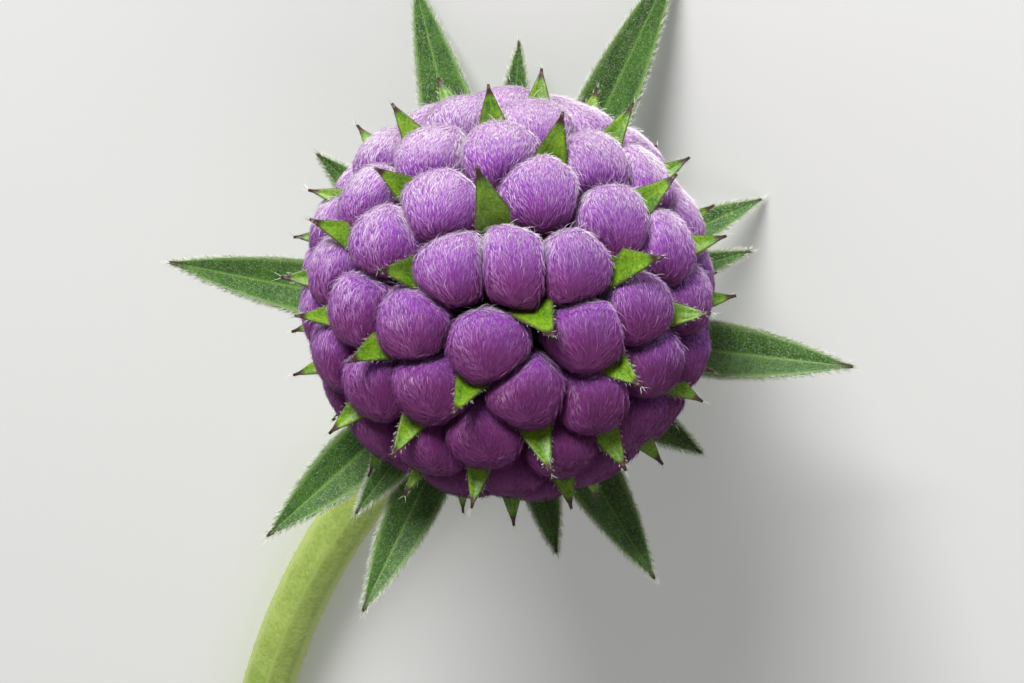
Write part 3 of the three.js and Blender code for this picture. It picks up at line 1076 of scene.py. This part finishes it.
# %% [markdown]
# ## Bracts
#
# Three whorls of pointed bracts spread under the ball. Each is a folded blade on one smooth
# curve: out under the lowest buds, then to its tip. The three that carry the head end on the
# surface it lies on. Felt covers both sides, a fringe of longer hairs lines the edges, and a
# tuft of bristles stands at the brown tip.

# %% Bract blades
BRACT_FOLD = 0.52
BRACT_SAG = 0.5 * MM
BRACT_RISE = -3.6 * MM
BRACT_ROOT_WIDTH = 0.5 * MM
BRACT_TIP_WIDTH = 0.10 * MM
BRACT_WIDTH_SHARE = 0.82
BRACT_FULLEST = 0.6
BRACT_SIDES = 32
BRACT_STEPS = 48
BRACT_WAVE = 0.05
BRACT_WAVES = 9
MIDRIB_HEIGHT = 0.5
MIDRIB_WIDTH = 0.16
GROOVE_DEPTH = 0.25
GROOVE_WIDTH = 0.12
HEAD_HEIGHT = centre.z
BRACTS = [
    ("outer_bract_1", 64, 13.4, 2.6, 0, True),
    ("outer_bract_2", 105, 12.2, 2.4, 0, True),
    ("outer_bract_3", 172, 11.7, 2.4, 0, False),
    ("outer_bract_4", 224, 11.3, 2.4, 0, False),
    ("outer_bract_5", 299, 10.6, 2.3, 0, False),
    ("outer_bract_6", 351, 12.2, 2.5, 0, False),
    ("middle_bract_1", 26, 10.2, 1.7, 1, True),
    ("middle_bract_2", 87, 9.5, 1.5, 1, False),
    ("middle_bract_3", 245, 11.5, 2.2, 1, False),
    ("middle_bract_4", 282, 8.6, 1.6, 1, False),
    ("middle_bract_5", 324, 8.4, 1.6, 1, False),
    ("inner_bract_1", 14, 8.8, 1.4, 2, False),
    ("inner_bract_2", 140, 8.5, 1.5, 2, False),
    ("inner_bract_3", 234, 8.7, 1.5, 2, False),
]


def resting_rise(turn, reach):
    tilt = math.radians(HEAD_TILT)
    drop = reach * math.sin(math.radians(turn + HEAD_TURN)) * math.cos(tilt)
    return (BRACT_THICKNESS / 2 - HEAD_HEIGHT - drop) / math.sin(tilt)


def make_bract(name, turn, reach, width, tier, rests, rng):
    seat = bract_seat - (2 - tier) * BRACT_TIER_GAP
    rise = resting_rise(turn, reach * MM) if rests else BRACT_RISE
    at = Matrix.Rotation(math.radians(turn), 3, "Z")
    path = [
        at @ Vector((NECK_RADIUS + CLEARANCE, 0, seat)),
        at @ Vector((skirt_radius, 0, seat - BRACT_SAG)),
        at @ Vector((reach * MM, 0, rise)),
    ]
    full = width * BRACT_WIDTH_SHARE * MM
    phase = rng.uniform(0, math.tau)

    def relief(t, x, y):
        wave = BRACT_WAVE * math.sin(BRACT_WAVES * t + phase) * abs(x)
        rib = -GROOVE_DEPTH * math.exp(-(x / GROOVE_WIDTH) ** 2)
        if y < 0:
            rib = MIDRIB_HEIGHT * math.exp(-(x / MIDRIB_WIDTH) ** 2)
        return 1 + wave + rib * (1 - t) * (abs(y) > 0.2)

    bm = bent_rod(
        BRACT_SIDES, BRACT_STEPS, lambda t: along_curve(path, t), Vector((0, 0, 1)),
        blade_outline(full, BRACT_ROOT_WIDTH, BRACT_TIP_WIDTH, BRACT_FULLEST, power=1.8),
        lambda t: BRACT_THICKNESS * (1 - 0.6 * t * t), fold=BRACT_FOLD, relief=relief, blunt=0.55,
    )
    bmesh.ops.transform(bm, matrix=HEAD, verts=bm.verts)
    return finish_piece(f"{name}_blade", bm, bract_green, [name])


bract_rng = np.random.default_rng(21)
bract_pieces = [make_bract(*row, bract_rng) for row in BRACTS]
print(len(bract_pieces), "bracts of", len(bract_pieces[0].data.polygons), "faces")

# %% Felt, fringe and tufts on the bracts
FELT_PER_MM2 = 230
FELT_LENGTH = 0.060 * MM
FELT_THICKNESS = 0.013 * MM
EDGE_PER_MM = 260
EDGE_LENGTH = 0.20 * MM
EDGE_THICKNESS = 0.018 * MM
TUFT_HAIRS = 10
TUFT_LENGTH = 0.34 * MM
TUFT_THICKNESS = 0.022 * MM
FELT_BATCHES = ((0, 3), (3, 6), (6, 11), (11, 14))

felt_lots = []
for piece, (_, turn, reach, width, _, _) in zip(bract_pieces, BRACTS):
    rng = np.random.default_rng(int(turn) + 1000)
    onward = np.array(turned @ direction(90, turn))

    def heading(places, onward=onward):
        return np.repeat(onward[None], len(places), axis=0)

    count = int(reach * width * 1.3 * FELT_PER_MM2)
    roots, facing = surface_points(piece, count, rng)
    ways = heading(roots) + rng.normal(0, 0.5, roots.shape)
    felt = hairs(
        short_hair, roots, facing, ways, FELT_LENGTH, FELT_THICKNESS, rng,
        lift=0.7, curl=0.3, settle=0.1, pale=rng.uniform(0, 0.7, count),
    )
    edge = grow_fringe(
        piece, int(reach * EDGE_PER_MM), EDGE_LENGTH, EDGE_THICKNESS, rng, reach * MM / 40,
        begin=0.15, end=0.99, heading=heading,
    )
    tuft = grow_bristles(piece, TUFT_HAIRS, TUFT_LENGTH, TUFT_THICKNESS, rng, heading)
    felt_lots.append([felt, edge, tuft])
for batch, (first, last) in enumerate(FELT_BATCHES, 1):
    chosen = [lot for lots in felt_lots[first:last] for lot in lots]
    hair_piece(f"bract_felt_{batch}", chosen, white_down)

# %% [markdown]
# ## Stem
#
# The stem leaves the head along its axis, turns level and lies on the surface, with a slight
# sideways sway. It is finely ribbed, so the ring of the rod swells and sinks a little round
# its girth. Short hairs lean along it toward the head, and the cut end shows its paler pith.

# %% The stem's path
STEM_LENGTH = 40 * MM
STEM_SWAY = 3.8 * MM
STEM_BEND = 1.25
STEM_SIDES = 64
STEM_STEPS = 140
STEM_RIBS = 8
STEM_RIB_DEPTH = 0.035
PITH_RIM = 0.10 * MM
PITH_DEPTH = 0.05 * MM

stem_top = centre + head_axis * (neck_foot - CLEARANCE)
level = STEM_DIAMETER / 2
drop = stem_top.z - level
corner = Vector((centre.x, stem_top.y + drop / math.tan(math.radians(HEAD_TILT)), level))
level_start = corner + Vector((STEM_SWAY / 2, drop * STEM_BEND, 0))
lying = (level_start - corner).normalized()
stem_middle = level_start + lying * STEM_LENGTH * 0.4
stem_end = Vector((level_start.x - STEM_SWAY, corner.y + STEM_LENGTH, level))
BENT_SHARE = 0.28


def stem_path(t):
    if t < BENT_SHARE:
        return along_curve([stem_top, corner, level_start], t / BENT_SHARE)
    return along_curve([level_start, stem_middle, stem_end], (t - BENT_SHARE) / (1 - BENT_SHARE))


def stem_ribs(t, x, y):
    return 1 + STEM_RIB_DEPTH * (math.cos(STEM_RIBS * math.atan2(y, x)) - 1) / 2


stem_bm = bent_rod(
    STEM_SIDES, STEM_STEPS, stem_path, Vector((0, 0, 1)),
    lambda t: STEM_DIAMETER, lambda t: STEM_DIAMETER, relief=stem_ribs,
)
cut_way = (stem_end - stem_middle).normalized()
bmesh.ops.recalc_face_normals(stem_bm, faces=stem_bm.faces)
cut_faces = [
    face for face in stem_bm.faces
    if (face.calc_center_median() - stem_end).length < level and face.normal.dot(cut_way) > 0.9
]
for depth in (0, -PITH_DEPTH):
    bmesh.ops.inset_region(
        stem_bm, faces=cut_faces, thickness=PITH_RIM, depth=depth, use_even_offset=True
    )
stem_along = stem_bm.verts.layers.float["along"]
for face in cut_faces:
    for vert in face.verts:
        vert[stem_along] = PITH_MARK
stem = finish_piece("stem_rod", stem_bm, stem_green, ["stem"])
low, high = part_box("stem")
print("faces of the pith:", len(cut_faces))
print("stem, solid and seen, mm:", round((high[1] - low[1]) / MM, 1), round(stem.dimensions.y / MM, 1))

# %% Hairs on the stem
STEM_HAIRS = 3200
STEM_HAIR_LENGTH = 0.16 * MM
STEM_HAIR_THICKNESS = 0.022 * MM

stem_rng = np.random.default_rng(31)
roots, facing = surface_points(stem, STEM_HAIRS, stem_rng)
ways = np.tile([0.0, -1.0, 0.0], (len(roots), 1)) + stem_rng.normal(0, 0.35, roots.shape)
template, corners, shades = hairs(
    short_hair, roots, facing, ways, STEM_HAIR_LENGTH, STEM_HAIR_THICKNESS, stem_rng,
    lift=0.7, curl=0.2, settle=0.2,
)
above = corners[..., 2].min(1) > 0
hair_piece("stem_hairs", [(template, corners[above], shades[above])], white_down)
